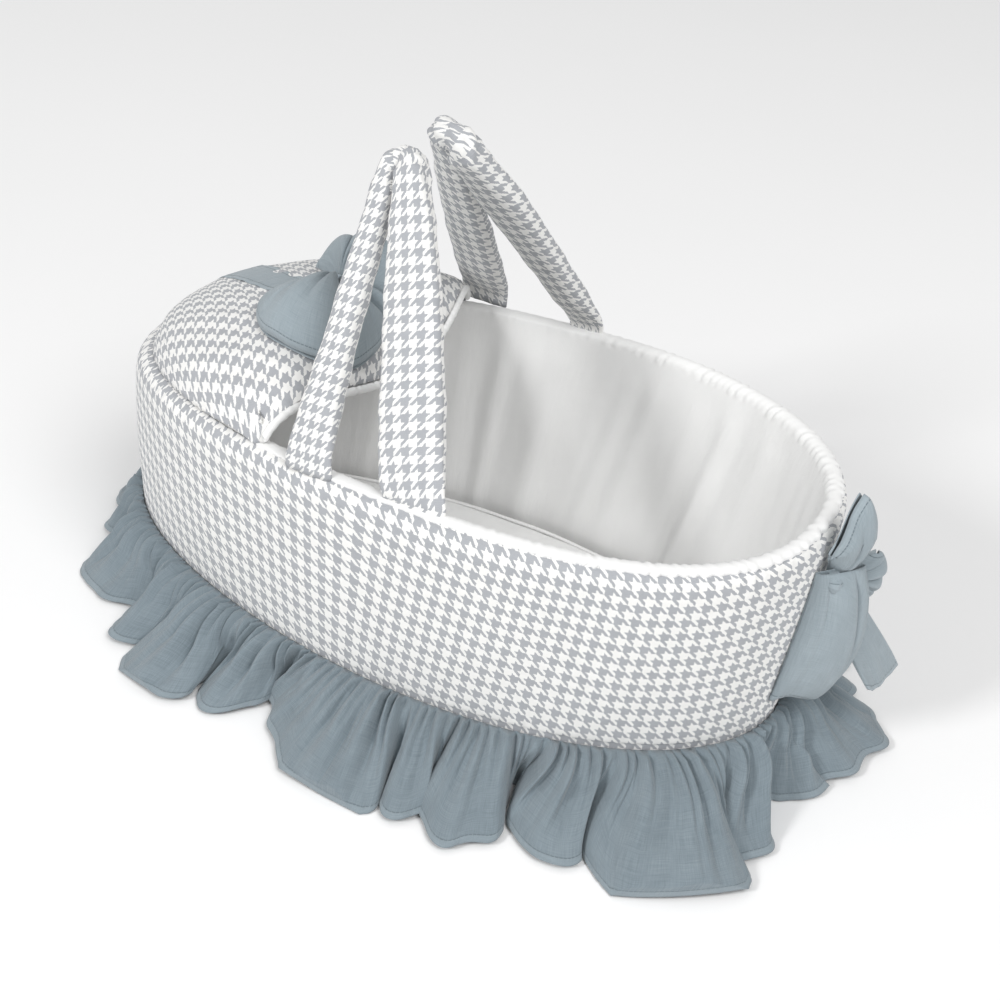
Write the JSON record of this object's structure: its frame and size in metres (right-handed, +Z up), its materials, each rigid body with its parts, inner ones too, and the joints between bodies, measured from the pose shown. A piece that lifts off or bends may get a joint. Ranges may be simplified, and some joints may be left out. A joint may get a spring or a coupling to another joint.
{
  "type": "moses basket",
  "caption": "Small padded oval fabric moses basket with a sewn half cover, gathered ruffle, loose mattress, fold-out padded handles and ribbon bows.",
  "frame": {"origin": "centre of the base's underside, where the basket rests", "axes": "+X to the open end, +Y to the far long side, +Z up"},
  "size_m": [0.662, 0.3862, 0.39],
  "materials": {
    "houndstooth_cotton": "woven cotton, light grey and off-white houndstooth",
    "white_lining": "plain white poly-cotton",
    "slate_chambray": "slate blue chambray with a slubby weave",
    "soft_foam": "open-cell foam",
    "wadding": "polyester wadding",
    "base_board": "smooth hardboard",
    "thread": "doubled sewing thread"
  },
  "bodies": {
    "basket": {"base_cover": "houndstooth_cotton", "base_board": "base_board", "floor_lining": "white_lining", "wall_foam": "soft_foam", "outer_wall": "houndstooth_cotton", "wall_lining": "white_lining", "ruffle": "slate_chambray", "cover_top": "houndstooth_cotton", "cover_wadding": "wadding", "cover_lining": "white_lining", "cover_edge_binding": "white_lining", "cover_ribbon": "slate_chambray", "cover_bow_near_loop": "slate_chambray", "cover_bow_far_loop": "slate_chambray", "cover_bow_tail": "slate_chambray", "cover_bow_knot": "slate_chambray", "end_bow_upper_loop": "slate_chambray", "end_bow_side_loop": "slate_chambray", "end_bow_lower_loop": "slate_chambray", "end_bow_tail": "slate_chambray", "end_bow_knot": "slate_chambray"},
    "mattress": {"mattress_cover": "white_lining", "mattress_core": "soft_foam"},
    "near_handle": {"near_handle_cover": "houndstooth_cotton", "near_handle_wadding": "wadding", "near_handle_tack": "thread"},
    "far_handle": {"far_handle_cover": "houndstooth_cotton", "far_handle_wadding": "wadding", "far_handle_tack": "thread"}
  },
  "joints": [
    {"name": "near_handle_fold", "type": "hinge", "parent": "basket", "child": "near_handle", "pos_m": [0.019, -0.138, 0.21], "axis": [1, 0, 0], "range_deg": [0, 150]},
    {"name": "far_handle_fold", "type": "hinge", "parent": "basket", "child": "far_handle", "pos_m": [-0.008, 0.138, 0.21], "axis": [-1, 0, 0], "range_deg": [0, 150]},
    {"name": "mattress_lift", "type": "slide", "parent": "basket", "child": "mattress", "axis": [0, 0, 1], "range_m": [0, 0.035]}
  ]
}
